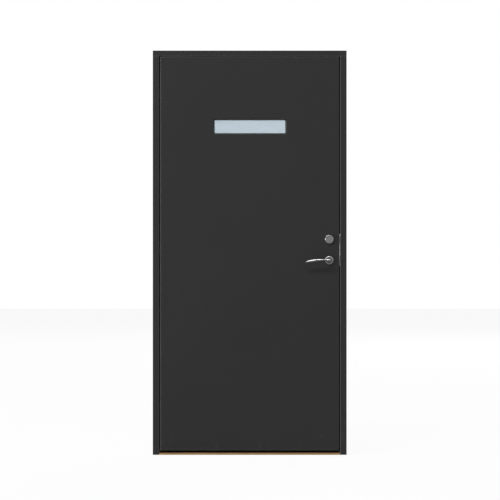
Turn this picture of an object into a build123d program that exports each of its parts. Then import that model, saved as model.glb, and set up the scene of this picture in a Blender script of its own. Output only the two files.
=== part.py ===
from build123d import *
import math
import os

os.makedirs("parts", exist_ok=True)

# Millimetres. X runs across the door, Z up, -Y is the outside. The origin is on the floor line under
# the middle of the frame, at half the leaf's thickness.
WIDTH = 990.0            # frame, the ten module size
HEIGHT = 2065.0
DEPTH = 105.0            # frame, front to back
LEAF_T = 62.0
FRONT = -LEAF_T / 2      # outer faces of leaf and frame are in one plane
BACK = FRONT + DEPTH
FACE = 33.0              # jamb seen from outside
HEAD_FACE = 28.0
STOP = 15.0              # how far the stop stands out past the jamb's face
REBATE = 66.0            # from the front to the stop
SIDE_GAP = 6.0
TOP_GAP = 3.0
LEAF_Z0 = 22.6
SILL_FRONT = 10.4
SILL_STOP = 37.0
ARRIS = 2.4

IN_X = WIDTH / 2 - FACE                  # jamb's rebate face
STOP_X = IN_X - STOP
STOP_Y = FRONT + REBATE
HEAD_Z = HEIGHT - HEAD_FACE
HEAD_STOP_Z = HEAD_Z - STOP
LEAF_X = IN_X - SIDE_GAP
LEAF_Z1 = HEAD_Z - TOP_GAP
SKIN = 3.0
INNER = LEAF_T / 2 - SKIN                # half the leaf between its skins
HINGE_STILE = 60.0
LOCK_STILE = 110.0
RAIL = 80.0

WIN_X = 1.4                              # window's middle
WIN_DROP = 356.5                         # and how far it lies below the leaf's top edge
WIN_Z = LEAF_Z1 - WIN_DROP
WIN_W, WIN_H, WIN_R = 378.0, 82.0, 9.5   # cut-out in the skins
SIGHT_W, SIGHT_H, SIGHT_R = 362.0, 66.6, 6.0
LINING_IN, LINING_T = 10.0, 10.0         # lining's bore past the cut-out, and its wall
FRAME_IN = 18.0                          # depth of the glazing frame from the face
SEAL_T = 2.0
PANE_T = 4.0
BEAD_SCREW_X = 130.0

AXIS_X = LEAF_X - 50.0                   # lock's backset
HANDLE_Z, CYL_Z = 994.0, 1101.0
LATCH_Z, BOLT_Z = HANDLE_Z + 18.0, CYL_Z - 17.0
STRIKE_Z = (HANDLE_Z + CYL_Z) / 2
SPINDLE = 8.0
OVAL_Z = CYL_Z - 1.5                     # middle of the cylinder's face, and of its key plug
PLUG_Z = OVAL_Z - 7.0

HINGE_LOW, HINGE_HIGH = 227.0, 214.0     # end hinges from the leaf's bottom and top edges
HINGE_Z = (LEAF_Z0 + HINGE_LOW, (LEAF_Z0 + HINGE_LOW + LEAF_Z1 - HINGE_HIGH) / 2, LEAF_Z1 - HINGE_HIGH)
HX, HY = -(IN_X + LEAF_X) / 2, FRONT     # the line the leaf turns about
P, Q = 7.2, 12.0                         # hinge pivots beside and behind that line
FAR = (13.5, 42.0)                       # sliding end of an arm
CAV = (5.3, 45.8)                        # hinge hollow, measured from the face


def box(x0, x1, y0, y1, z0, z1):
    return Pos((x0 + x1) / 2, (y0 + y1) / 2, (z0 + z1) / 2) * Box(abs(x1 - x0), abs(y1 - y0), abs(z1 - z0))


def rod_y(x, z, r, y0, y1):
    return Pos(x, (y0 + y1) / 2, z) * Rot(90, 0, 0) * Cylinder(r, abs(y1 - y0))


def rod_x(y, z, r, x0, x1):
    return Pos((x0 + x1) / 2, y, z) * Rot(0, 90, 0) * Cylinder(r, abs(x1 - x0))


def rod_z(x, y, r, z0, z1):
    return Pos(x, y, (z0 + z1) / 2) * Cylinder(r, abs(z1 - z0))


def slab_y(w, h, r, y0, y1, x=0.0, z=0.0):
    """Rounded rectangle in the door's plane, from y0 to y1."""
    face = Plane.XZ * RectangleRounded(w, h, r)
    return Pos(x, y1, z) * extrude(face, abs(y1 - y0))


def slab_x(w, h, r, x0, x1, y=0.0, z=0.0):
    """Rounded rectangle facing along X; w along Y and h along Z."""
    face = Plane.YZ * RectangleRounded(w, h, r)
    return Pos(x0, y, z) * extrude(face, abs(x1 - x0))


def ring_y(w, h, r, w2, h2, r2, y0, y1, x, z):
    return slab_y(w, h, r, y0, y1, x, z) - slab_y(w2, h2, r2, y0 - 1, y1 + 1, x, z)


def turned(points, x, z, side, dome=()):
    """A body turned about an axis along Y; points are radius and distance out from the leaf's face.
    A dome is a rounded run between the last point and the first, its two ends upright and level."""
    if dome:
        face = make_face([Polyline(*points), Spline(*dome, tangents=((0, 1), (-1, 0)))])
    else:
        face = make_face(Polyline(*points, close=True))
    solid = revolve(face, Axis.Y)
    solid = Pos(0, LEAF_T / 2, 0) * solid
    if side < 0:
        solid = mirror(solid, about=Plane.XZ)
    return Pos(x, 0, z) * solid


def screw(r, shank, length, recess=True):
    """Countersunk, head face at the origin and up; shank down."""
    depth = r - shank
    body = Cone(shank, r, depth, align=(Align.CENTER, Align.CENTER, Align.MAX))
    body += Pos(0, 0, -depth) * Cylinder(shank, length - depth, align=(Align.CENTER, Align.CENTER, Align.MAX))
    if recess:
        bar = Box(r * 1.1, r * 0.3, 2 * 1.2)
        body -= bar + Rot(0, 0, 90) * bar
    return body


TO = {"-x": Rot(0, -90, 0), "+x": Rot(0, 90, 0), "-y": Rot(90, 0, 0), "+y": Rot(-90, 0, 0),
      "+z": Rot(0, 0, 0), "-z": Rot(180, 0, 0)}


def screws(places, way, r, shank, length, recess=True):
    one = screw(r, shank, length, recess)
    return [Pos(*p) * TO[way] * one for p in places]


def group(shapes):
    return Compound(children=list(shapes)) if len(shapes) > 1 else shapes[0]


PARTS = {}


def keep(name, shape):
    PARTS[name] = shape


# Hinge: straight arms crossing on a shared pin, each turning on its own side and sliding on the other.
def at_hinge(shape, z):
    return Pos(HX, HY, z) * shape


def flip(shape):
    return mirror(shape, about=Plane.YZ)


def strap(points, half, z0, z1):
    flat = None
    for (ax, ay), (bx, by) in zip(points, points[1:]):
        length, angle = math.hypot(bx - ax, by - ay), math.degrees(math.atan2(by - ay, bx - ax))
        piece = Pos((ax + bx) / 2, (ay + by) / 2) * Rot(0, 0, angle) * Rectangle(length, 2 * half)
        flat = piece if flat is None else flat + piece
    for x, y in points:
        flat += Pos(x, y) * Circle(half + 0.5)
    return Pos(0, 0, z0) * extrude(flat, z1 - z0)


ZB, ZA0, ZA1, ZC = 5.0, 5.3, 13.0, 13.3   # middle arm, outer arms, cheeks begin
CUP_Z, PLATE_Z, PLATE_T = 19.0, 55.0, 2.5
PIN_R = 2.0
SLIDE_R = 2.2
HINGE_SCREW_Z = (-46.0, -30.0, 30.0, 46.0)
MID_Y = (CAV[0] + CAV[1]) / 2
GAP2 = SIDE_GAP / 2


def housing():
    """The leaf's side; x runs into the leaf."""
    low, high = CAV[0] - 1.5, CAV[1] + 1.6
    body = box(GAP2, GAP2 + 18, low, high, -CUP_Z, CUP_Z)
    plate = slab_x(high - low, 2 * PLATE_Z, 8, GAP2, GAP2 + PLATE_T, (low + high) / 2, 0)
    body = body + plate
    body -= box(GAP2 - 1, GAP2 + 16, CAV[0], CAV[1], -ZC, ZC)
    centre = (FAR[0] + P, FAR[1] - Q)
    reach = math.hypot(P, Q)
    start = math.degrees(math.atan2(Q, -P)) - 2
    path = CenterArc(centre, reach, start, 94)
    slot = extrude(SlotArc(arc=path, height=2 * SLIDE_R + 0.2), 5)
    body -= Pos(0, 0, ZC - 0.5) * slot
    body -= Pos(0, 0, -ZC - 4.5) * slot
    body -= rod_z(P, Q, PIN_R, -CUP_Z - 1, CUP_Z + 1)
    for z in HINGE_SCREW_Z:
        body -= Pos(GAP2, MID_Y, z) * TO["-x"] * screw(4.2, 2.1, 20, False)
    return body


def housing_pocket():
    low, high = CAV[0] - 1.5, CAV[1] + 1.6
    cut = box(GAP2 - 1, GAP2 + 18, low, high, -CUP_Z, CUP_Z)
    cut += slab_x(high - low, 2 * PLATE_Z, 8, GAP2 - 1, GAP2 + PLATE_T, (low + high) / 2, 0)
    for z in HINGE_SCREW_Z:
        cut += Pos(GAP2, MID_Y, z) * TO["-x"] * screw(4.2, 2.1, 20, False)
    return cut


def arm_outer():
    """Turns on the jamb; slides in the leaf."""
    line = [(-P, Q), (0, 2 * Q), FAR]
    body = strap(line, 2.8, ZA0, ZA1) + strap(line, 2.8, -ZA1, -ZA0)
    body += rod_z(FAR[0], FAR[1], SLIDE_R, -ZC - 4.2, ZC + 4.2)
    body -= rod_z(-P, Q, PIN_R + 0.08, -20, 20)
    body -= rod_z(0, 2 * Q, PIN_R, -20, 20)
    return body


def arm_middle():
    """Turns on the leaf; slides in the jamb."""
    line = [(P, Q), (0, 2 * Q), (-FAR[0], FAR[1])]
    body = strap(line, 2.8, -ZB, ZB)
    body += rod_z(-FAR[0], FAR[1], SLIDE_R, -ZC - 4.2, ZC + 4.2)
    body -= rod_z(P, Q, PIN_R + 0.08, -20, 20)
    body -= rod_z(0, 2 * Q, PIN_R + 0.08, -20, 20)
    return body


def hinges():
    leaf_side, jamb_side = housing(), flip(housing())
    outer, middle = arm_outer(), arm_middle()
    screw_leaf = [(HX + GAP2, HY + MID_Y, h + z) for h in HINGE_Z for z in HINGE_SCREW_Z]
    screw_jamb = [(HX - GAP2, HY + MID_Y, h + z) for h in HINGE_Z for z in HINGE_SCREW_Z]
    keep("hinge_housings_leaf", group([at_hinge(leaf_side, z) for z in HINGE_Z]))
    keep("hinge_housings_jamb", group([at_hinge(jamb_side, z) for z in HINGE_Z]))
    keep("hinge_arms_outer", group([at_hinge(outer, z) for z in HINGE_Z]))
    keep("hinge_arms_middle", group([at_hinge(middle, z) for z in HINGE_Z]))
    keep("hinge_pins_jamb", group([at_hinge(rod_z(-P, Q, PIN_R, -CUP_Z, CUP_Z), z) for z in HINGE_Z]))
    keep("hinge_pins_leaf", group([at_hinge(rod_z(P, Q, PIN_R, -CUP_Z, CUP_Z), z) for z in HINGE_Z]))
    keep("hinge_cross_pins", group([at_hinge(rod_z(0, 2 * Q, PIN_R, -ZA1, ZA1), z) for z in HINGE_Z]))
    keep("hinge_screws_leaf", group(screws(screw_leaf, "-x", 4.2, 2.1, 20)))
    keep("hinge_screws_jamb", group(screws(screw_jamb, "+x", 4.2, 2.1, 20)))


# Frame
FIX_LOW, FIX_HIGH = 120.0, 107.0          # end wall screws from the floor and from the head
FIX_SPAN = HEAD_Z - FIX_HIGH - FIX_LOW
FIX_Z = (FIX_LOW, FIX_LOW + 0.32 * FIX_SPAN, FIX_LOW + 0.68 * FIX_SPAN, FIX_LOW + FIX_SPAN)
FIX_Y = 24.0
FIX_R = 6.0
BUSH_R = 9.0
STRIKE_SCREWS = (-86.0, 86.0)
STRIKE = dict(h=200.0, y0=-25.0, y1=23.0, t=3.0, lip_h=160.0, lip_w=3.0)
LIP_X = IN_X - STRIKE["lip_w"]
KEEP_DEEP = 19.0                           # hollow behind the strike
SEAL_X = STOP_X + 4.0                      # middle lines of the gasket's four runs
SEAL_Z0, SEAL_Z1 = SILL_STOP - 7.0, HEAD_STOP_Z + 4.0
FIN = 1.5                                  # half its fin
KERF = 3.5                                 # saw cut in the back for the wall's lining
HEAD_GROOVE = 0.8                          # bevel on a jamb's top end, which marks the joint with the head


def jamb(side):
    """side -1 is the hinge side."""
    pts = [(-WIDTH / 2, FRONT), (-IN_X, FRONT), (-IN_X, STOP_Y), (-STOP_X, STOP_Y), (-STOP_X, BACK),
           (-WIDTH / 2, BACK)]
    body = extrude(make_face(Polyline(*pts, close=True)), HEAD_Z)
    for x, y in ((-IN_X, FRONT), (-STOP_X, STOP_Y), (-STOP_X, BACK)):
        edge = body.edges().filter_by(Axis.Z).filter_by(
            lambda e, x=x, y=y: abs(e.center().X - x) < 0.1 and abs(e.center().Y - y) < 0.1)
        body = fillet(edge, ARRIS)
    top = body.edges().filter_by(Axis.X).sort_by(Axis.Z)[-3:].sort_by(Axis.Y)[0]
    body = chamfer(top, HEAD_GROOVE)
    body -= box(-SEAL_X - FIN, -SEAL_X + FIN, STOP_Y - 1, STOP_Y + 5, SEAL_Z0 - FIN, SEAL_Z1 + FIN)
    for z in (SEAL_Z0, SEAL_Z1):
        body -= box(-SEAL_X, -STOP_X + 1, STOP_Y - 1, STOP_Y + 5, z - FIN, z + FIN)
    body -= box(-WIDTH / 2 + 12, -WIDTH / 2 + 12 + KERF, BACK - 8, BACK + 1, -1, HEAD_Z + 1)
    body -= box(-WIDTH / 2 - 1, -WIDTH / 2 + 1.5, FRONT + 20, BACK - 20, -1, HEAD_Z + 1)
    for z in FIX_Z:
        body -= rod_x(FIX_Y, z, BUSH_R, -WIDTH / 2 - 1, -IN_X + 1)
    if side < 0:
        for z in HINGE_Z:
            body -= at_hinge(flip(housing_pocket()), z)
        return body
    body = mirror(body, about=Plane.YZ)
    s = STRIKE
    body -= slab_x(s["y1"] - s["y0"], s["h"], 6, IN_X - 1, IN_X + s["t"], (s["y0"] + s["y1"]) / 2, STRIKE_Z)
    body -= box(IN_X, IN_X + KEEP_DEEP, -12, 12, STRIKE_Z - 66, STRIKE_Z + 66)
    for z in STRIKE_SCREWS:
        body -= Pos(IN_X + s["t"], 0, STRIKE_Z + z) * TO["-x"] * Pos(0, 0, s["t"]) * screw(4.5, 2.3, 24, False)
    return body


def head():
    body = box(-WIDTH / 2, WIDTH / 2, FRONT, BACK, HEAD_Z, HEIGHT)
    body = fillet(body.edges().filter_by(Axis.X).sort_by(Axis.Z)[:2].sort_by(Axis.Y)[0], ARRIS)
    body += box(-STOP_X, STOP_X, STOP_Y, BACK, HEAD_STOP_Z, HEAD_Z)
    body -= box(-STOP_X - 1, STOP_X + 1, STOP_Y - 1, STOP_Y + 5, SEAL_Z1 - FIN, SEAL_Z1 + FIN)
    body -= box(-WIDTH / 2 - 1, WIDTH / 2 + 1, BACK - 8, BACK + 1, HEIGHT - 12 - KERF, HEIGHT - 12)
    for p in joint_places()[:4]:
        body -= Pos(*p) * TO["+z"] * screw(4.5, 2.3, 70, False)
    return body


JOINT_IN = 22.0                            # joint screws from the frame's front and back
SILL_SCREWS = ((FRONT + 19.0, SILL_FRONT * 0.6), (BACK - JOINT_IN, SILL_STOP * 0.45))


def joint_places():
    top = [(sx * (WIDTH / 2 - FACE / 2), y, HEIGHT) for sx in (-1, 1) for y in (FRONT + JOINT_IN, BACK - JOINT_IN)]
    low = [(sx * WIDTH / 2, y, z) for sx in (-1, 1) for y, z in SILL_SCREWS]
    return top + low


def sill():
    front = [(FRONT, 0), (FRONT, SILL_FRONT - 1.2), (FRONT + 1.2, SILL_FRONT), (STOP_Y, SILL_FRONT + 6),
             (STOP_Y, SILL_STOP), (BACK - 3, SILL_STOP), (BACK, SILL_STOP - 3), (BACK, 0)]
    face = Plane.YZ * make_face(Polyline(*front, close=True))
    body = Pos(-IN_X, 0, 0) * extrude(face, 2 * IN_X)
    for sx in (-1, 1):
        body -= box(sx * STOP_X, sx * (IN_X + 1), STOP_Y, BACK + 1, -1, SILL_STOP + 1)
    body -= box(-STOP_X, STOP_X, STOP_Y - 1, STOP_Y + 5, SEAL_Z0 - FIN, SEAL_Z0 + FIN)
    body -= strip_block()
    body -= box(-STOP_X, STOP_X, STOP_Y + 8, STOP_Y + 28, -1, 8)
    for x in STRIP_X:
        body -= Pos(x, STRIP_MID, STRIP_TOP) * screw(3.6, 1.8, 18, False)
    return body


STRIP_END, STRIP_N = 47.0, 5
STRIP_X = [(STOP_X - STRIP_END) * (2 * i / (STRIP_N - 1) - 1) for i in range(STRIP_N)]


STRIP_W, STRIP_T = 24.0, 2.5               # wear strip's width and thickness
STRIP_MID = STOP_Y + 6.0 + STRIP_W / 2
STRIP_TOP = SILL_STOP + 1.0


def strip_block():
    return box(-STOP_X, STOP_X, STRIP_MID - STRIP_W / 2, STRIP_MID + STRIP_W / 2, STRIP_TOP - STRIP_T, STRIP_TOP)


def sill_strip():
    body = strip_block()
    for y in (-9.0, -6.0, 6.0, 9.0):
        body -= box(-STOP_X - 1, STOP_X + 1, STRIP_MID + y - 0.6, STRIP_MID + y + 0.6, STRIP_TOP - 0.6, STRIP_TOP + 1)
    for x in STRIP_X:
        body -= Pos(x, STRIP_MID, STRIP_TOP) * screw(3.6, 1.8, 18, False)
    return body


def gasket():
    """Closed ring: a bulb that the leaf closes on, and a fin pressed into the stop's groove."""
    cz = (SEAL_Z0 + SEAL_Z1) / 2
    half_w, half_h = SEAL_X, (SEAL_Z1 - SEAL_Z0) / 2

    def band(out, inn, y0, y1):
        return ring_y(2 * (half_w + out), 2 * (half_h + out), 0.5, 2 * (half_w - inn), 2 * (half_h - inn), 0.05,
                      y0, y1, 0, cz)
    body = band(3.3, 3.3, STOP_Y - 2.2, STOP_Y) + band(2.2, 2.2, STOP_Y - 3.7, STOP_Y - 2.2)
    return body + band(FIN, FIN, STOP_Y, STOP_Y + 4.5)


def strike():
    s = STRIKE
    body = slab_x(s["y1"] - s["y0"], s["h"], 6, IN_X, IN_X + s["t"], (s["y0"] + s["y1"]) / 2, STRIKE_Z)
    lip = box(LIP_X, IN_X, FRONT, s["y0"] + 6, STRIKE_Z - s["lip_h"] / 2, STRIKE_Z + s["lip_h"] / 2)
    lip = chamfer(lip.edges().filter_by(Axis.Z).sort_by(Axis.X)[:2], 1.0)
    body += lip
    body -= box(LIP_X - 1, IN_X + 9, -6.8, 8.5, LATCH_Z - 17, LATCH_Z + 17)
    body -= box(LIP_X - 1, IN_X + 9, -8.0, 8.0, BOLT_Z - 18, BOLT_Z + 18)
    for z in STRIKE_SCREWS:
        body -= Pos(IN_X, 0, STRIKE_Z + z) * TO["-x"] * screw(4.5, 2.3, 24, False)
    return body


def strike_box():
    z0, z1 = STRIKE_Z - 66, STRIKE_Z + 66
    body = box(IN_X + STRIKE["t"], IN_X + KEEP_DEEP, -12, 12, z0, z1)
    return body - box(IN_X, IN_X + KEEP_DEEP - 1.5, -10.5, 10.5, z0 + 1.5, z1 - 1.5)


def frame():
    j1, j2, h = jamb(-1), jamb(1), head()
    low = joint_places()[4:]
    for p in joint_places()[:4]:
        cut = Pos(*p) * screw(4.5, 2.3, 70, False)
        j1, j2 = j1 - cut, j2 - cut
    s = sill()
    for p in low:
        cut = Pos(*p) * TO["-x" if p[0] < 0 else "+x"] * screw(4.5, 2.3, 70, False)
        j1, j2, s = j1 - cut, j2 - cut, s - cut
    keep("jamb_hinge_side", j1)
    keep("jamb_lock_side", j2)
    keep("head", h)
    keep("sill", s)
    keep("sill_strip", sill_strip())
    keep("sill_strip_screws", group(screws([(x, STRIP_MID, STRIP_TOP) for x in STRIP_X], "+z", 3.6, 1.8, 18)))
    keep("gasket", gasket())
    keep("strike_plate", strike())
    keep("strike_box", strike_box())
    keep("strike_screws", group(screws([(IN_X, 0, STRIKE_Z + z) for z in STRIKE_SCREWS], "-x", 4.5, 2.3, 24)))
    joints = screws(joint_places()[:4], "+z", 4.5, 2.3, 70)
    joints += screws([p for p in low if p[0] < 0], "-x", 4.5, 2.3, 70)
    joints += screws([p for p in low if p[0] > 0], "+x", 4.5, 2.3, 70)
    keep("joint_screws", group(joints))
    bushes, plugs = [], []
    for sx in (-1, 1):
        for z in FIX_Z:
            x0, x1 = sx * (WIDTH / 2), sx * (IN_X + 4)
            bushes.append(rod_x(FIX_Y, z, BUSH_R, x0 - sx * 1.5, x1) - rod_x(FIX_Y, z, FIX_R, x0 + sx, x1 - sx))
            plugs.append(rod_x(FIX_Y, z, BUSH_R, x1, sx * IN_X))
    keep("fixing_bushes", group(bushes))
    keep("fixing_plugs", group(plugs))


# Leaf
def skin(y0, y1):
    body = box(-LEAF_X, LEAF_X, y0, y1, LEAF_Z0, LEAF_Z1)
    outside = y0 if y0 < 0 else y1
    rim = body.edges().filter_by(lambda e: abs(e.center().Y - outside) < 0.01)
    body = fillet(rim, ARRIS)
    body -= slab_y(WIN_W, WIN_H, WIN_R, y0 - 1, y1 + 1, WIN_X, WIN_Z)
    body -= rod_y(AXIS_X, HANDLE_Z, 10.5, y0 - 1, y1 + 1)
    body -= slab_y(OVAL[0] + 1, OVAL[1] + 1, OVAL[2] + 0.5, y0 - 1, y1 + 1, AXIS_X, OVAL_Z)
    for dz in ROSE_SCREWS:
        body -= rod_y(AXIS_X, HANDLE_Z + dz, 2.5, y0 - 1, y1 + 1)
    return body


OVAL = (28.0, 33.0, 13.9)                  # cylinder's width, height and corner radius
OVAL_OUT = 11.2                            # its face, out from the leaf's, sunk in the ring round it
PLUG_R = 7.5
CASE = dict(x0=AXIS_X - 35, x1=LEAF_X - 3, y=9.5, z0=HANDLE_Z - 64, z1=CYL_Z + 47)
PLATE = dict(w=22.0, h=240.0, t=3.0)
CASE_Z = (CASE["z0"] + CASE["z1"]) / 2
EDGE_SCREWS = (9.0 - PLATE["h"] / 2, PLATE["h"] / 2 - 9.0)
ROSE_SCREWS = (-16.0, 16.0)


def lock_stile():
    c = CASE
    body = box(LEAF_X - LOCK_STILE, LEAF_X, -INNER, INNER, LEAF_Z0, LEAF_Z1)
    body -= box(c["x0"] - 1, LEAF_X + 1, -c["y"] - 0.5, c["y"] + 0.5, c["z0"] - 1, c["z1"] + 1)
    body -= slab_x(PLATE["w"], PLATE["h"], PLATE["w"] / 2 - 0.01, LEAF_X - PLATE["t"], LEAF_X + 1, 0, CASE_Z)
    body -= rod_y(AXIS_X, HANDLE_Z, 10.5, -INNER - 1, INNER + 1)
    body -= slab_y(OVAL[0] + 1, OVAL[1] + 1, OVAL[2] + 0.5, -INNER - 1, INNER + 1, AXIS_X, OVAL_Z)
    for dz in ROSE_SCREWS:
        body -= rod_y(AXIS_X, HANDLE_Z + dz, 2.5, -INNER - 1, INNER + 1)
    for dz in EDGE_SCREWS:
        body -= Pos(LEAF_X, 0, CASE_Z + dz) * TO["+x"] * screw(4.0, 2.0, 26, False)
    return body


def leaf_body():
    hinge = box(-LEAF_X, -LEAF_X + HINGE_STILE, -INNER, INNER, LEAF_Z0, LEAF_Z1)
    for z in HINGE_Z:
        hinge -= at_hinge(housing_pocket(), z)
    x0, x1 = -LEAF_X + HINGE_STILE, LEAF_X - LOCK_STILE
    top = box(x0, x1, -INNER, INNER, LEAF_Z1 - RAIL, LEAF_Z1)
    low = box(x0, x1, -INNER, INNER, LEAF_Z0, LEAF_Z0 + RAIL)
    low -= box(x0 - 1, x1 + 1, 12, 26, LEAF_Z0 - 1, LEAF_Z0 + 12)
    stile = lock_stile() - box(LEAF_X - LOCK_STILE - 1, LEAF_X + 1, 12, 26, LEAF_Z0 - 1, LEAF_Z0 + 12)
    hinge -= box(-LEAF_X - 1, x0 + 1, 12, 26, LEAF_Z0 - 1, LEAF_Z0 + 12)
    core = box(x0, x1, -INNER, INNER, LEAF_Z0 + RAIL, LEAF_Z1 - RAIL)
    grow = 2 * (LINING_IN + LINING_T)
    core -= slab_y(WIN_W + grow, WIN_H + grow, 4, -INNER - 1, INNER + 1, WIN_X, WIN_Z)
    keep("hinge_stile", hinge)
    keep("lock_stile", stile)
    keep("top_rail", top)
    keep("bottom_rail", low)
    keep("core", core)
    keep("outer_skin", skin(FRONT, FRONT + SKIN))
    keep("inner_skin", skin(-FRONT - SKIN, -FRONT))
    carrier = box(-LEAF_X + 2, LEAF_X - 2, 12, 26, LEAF_Z0, LEAF_Z0 + 12)
    carrier -= box(-LEAF_X, LEAF_X, 14, 24, LEAF_Z0 - 1, LEAF_Z0 + 10)
    lip = box(-LEAF_X + 2, LEAF_X - 2, 14, 24, LEAF_Z0 + 5, LEAF_Z0 + 10)
    lip += box(-LEAF_X + 2, LEAF_X - 2, 17.5, 20.5, LEAF_Z0 - 4.5, LEAF_Z0 + 5)
    keep("bottom_seal_carrier", carrier)
    keep("bottom_seal", lip)


def window():
    inn, out = 2 * LINING_IN, 2 * (LINING_IN + LINING_T)
    y1 = -INNER + 0.0
    keep("window_lining", ring_y(WIN_W + out, WIN_H + out, 4, WIN_W + inn, WIN_H + inn, 2,
                                 -INNER, INNER, WIN_X, WIN_Z))
    for name, s in (("glazing_frame", -1), ("glazing_bead", 1)):
        wide = slab_y(WIN_W + inn, WIN_H + inn, 2, -INNER, FRONT + FRAME_IN, WIN_X, WIN_Z)
        nose = slab_y(WIN_W, WIN_H, WIN_R, FRONT, -INNER + 1, WIN_X, WIN_Z)
        big = Plane((WIN_X, FRONT - 0.01, WIN_Z), x_dir=(1, 0, 0), z_dir=(0, -1, 0)) * RectangleRounded(
            WIN_W - 2.4, WIN_H - 2.4, WIN_R - 1.2)
        small = Plane((WIN_X, FRONT + FRAME_IN, WIN_Z), x_dir=(1, 0, 0), z_dir=(0, -1, 0)) * RectangleRounded(
            SIGHT_W, SIGHT_H, SIGHT_R)
        body = wide + nose - loft([big, small])
        if s > 0:
            body = mirror(body, about=Plane.XZ)
            for p in bead_places():
                body -= Pos(*p) * TO["+y"] * screw(1.9, 1.0, 8, False) + rod_y(p[0], p[2], 1.9, p[1], -FRONT + 1)
        keep(name, body)
    a = FRONT + FRAME_IN
    b = -a
    pane_w, pane_h = WIN_W + inn - 4, WIN_H + inn - 4
    seal = (pane_w, pane_h, 2, SIGHT_W + 3, SIGHT_H + 3, 6)
    keep("glazing_seals", group([ring_y(*seal, y, y + SEAL_T, WIN_X, WIN_Z) for y in (a, b - SEAL_T)]))
    keep("pane_outer", slab_y(pane_w, pane_h, 1, a + SEAL_T, a + SEAL_T + PANE_T, WIN_X, WIN_Z))
    keep("pane_inner", slab_y(pane_w, pane_h, 1, b - SEAL_T - PANE_T, b - SEAL_T, WIN_X, WIN_Z))
    keep("spacer", ring_y(pane_w - 6, pane_h - 6, 2, pane_w - 20, pane_h - 20, 2,
                          a + SEAL_T + PANE_T, b - SEAL_T - PANE_T, WIN_X, WIN_Z))
    keep("bead_screws", group(screws(bead_places(), "+y", 1.9, 1.0, 8)))


def bead_places():
    """Heads sunk in the bead's sloping reveal, half way down it."""
    z = (WIN_H + SIGHT_H) / 4 + 0.6
    y = -FRONT - FRAME_IN / 2
    return [(WIN_X + x, y, WIN_Z + s * z) for x in (-BEAD_SCREW_X, 0.0, BEAD_SCREW_X) for s in (-1, 1)]


# Lock and furniture
def lock():
    c = CASE
    outer = box(c["x0"], c["x1"], -c["y"] + 1.5, c["y"], c["z0"], c["z1"])
    tray = outer - box(c["x0"] + 1.5, c["x1"] + 1, -c["y"], c["y"] - 1.5, c["z0"] + 1.5, c["z1"] - 1.5)
    cover = box(c["x0"], c["x1"], -c["y"], -c["y"] + 1.5, c["z0"], c["z1"])
    for z, r in ((HANDLE_Z, 9.3), (PLUG_Z, 9.0)):
        tray -= rod_y(AXIS_X, z, r, 0, 20)
        cover -= rod_y(AXIS_X, z, r, -20, 0)
    for dz in ROSE_SCREWS:
        tray -= rod_y(AXIS_X, HANDLE_Z + dz, 2.5, 0, 20)
        cover -= rod_y(AXIS_X, HANDLE_Z + dz, 2.5, -20, 0)
    plate = slab_x(PLATE["w"], PLATE["h"], PLATE["w"] / 2 - 0.01, LEAF_X - PLATE["t"], LEAF_X, 0, CASE_Z)
    plate -= box(LEAF_X - 9, LEAF_X + 1, -6.1, 6.1, LATCH_Z - 15.1, LATCH_Z + 15.1)
    plate -= box(LEAF_X - 9, LEAF_X + 1, -6.1, 6.1, BOLT_Z - 16.1, BOLT_Z + 16.1)
    for dz in EDGE_SCREWS:
        plate -= Pos(LEAF_X, 0, CASE_Z + dz) * TO["+x"] * screw(4.0, 2.0, 26, False)
    keep("lock_case", tray)
    keep("lock_cover", cover)
    keep("faceplate", plate)
    keep("faceplate_screws", group(screws([(LEAF_X, 0, CASE_Z + d) for d in EDGE_SCREWS], "+x", 4.0, 2.0, 26)))
    nose = [(LEAF_X - 22, -6), (LEAF_X + 12, -6), (LEAF_X + 12, -3.5), (LEAF_X + 2, 6), (LEAF_X - 22, 6)]
    latch = Pos(0, 0, LATCH_Z - 15) * extrude(make_face(Polyline(*nose, close=True)), 30)
    keep("latch_bolt", latch)
    bolt = box(LEAF_X - 32, LEAF_X - 0.5, -6, 6, BOLT_Z - 16, BOLT_Z + 16)
    bolt = chamfer(bolt.faces().sort_by(Axis.X)[-1].edges(), 0.8)
    keep("dead_bolt", bolt)
    hub = rod_y(AXIS_X, HANDLE_Z, 9.0, -9.0, 9.0) + rod_y(AXIS_X, HANDLE_Z, 12.0, -7.6, 7.6)
    keep("follower", hub - square_bar(-20, 20, 0.0))
    keep("spindle", square_bar(-72, 72, 0.0))


def square_bar(y0, y1, grow):
    h = SPINDLE / 2 + grow
    return box(AXIS_X - h, AXIS_X + h, y0, y1, HANDLE_Z - h, HANDLE_Z + h)


# Sections of the grip: distance from the spindle, drop of its middle, half its height, half its thickness.
GRIP = ((-2, 0.0, 6.8, 8.0), (14, -0.7, 6.4, 7.2), (36, -1.6, 5.9, 6.4), (58, -0.2, 7.9, 6.4),
        (80, 2.5, 9.1, 6.8), (98, 5.2, 7.9, 6.2), (111, 7.4, 5.7, 4.8), (119, 9.1, 3.3, 2.6), (121, 9.5, 1.5, 1.2))
GRIP_Y = 53.0                              # its middle, out from the leaf's face


def lever(side):
    rings = [Plane((AXIS_X - reach, -(LEAF_T / 2 + GRIP_Y), HANDLE_Z - drop), x_dir=(0, 1, 0), z_dir=(-1, 0, 0))
             * Ellipse(hy, hz) for reach, drop, hz, hy in GRIP]
    grip = loft(rings)
    neck = [(0, 9.5), (9, 9.5), (8.4, 20), (8.4, 36), (9.6, 46), (9.6, 54), (8.2, 58), (5, 60), (0, 60)]
    body = turned(neck, AXIS_X, HANDLE_Z, -1) + grip
    body -= square_bar(-73, 0, 0.0)
    body -= rod_x(-(LEAF_T / 2 + 16), HANDLE_Z - 0, 2.0, AXIS_X, AXIS_X + 20)
    return body if side < 0 else mirror(body, about=Plane.XZ)


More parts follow.
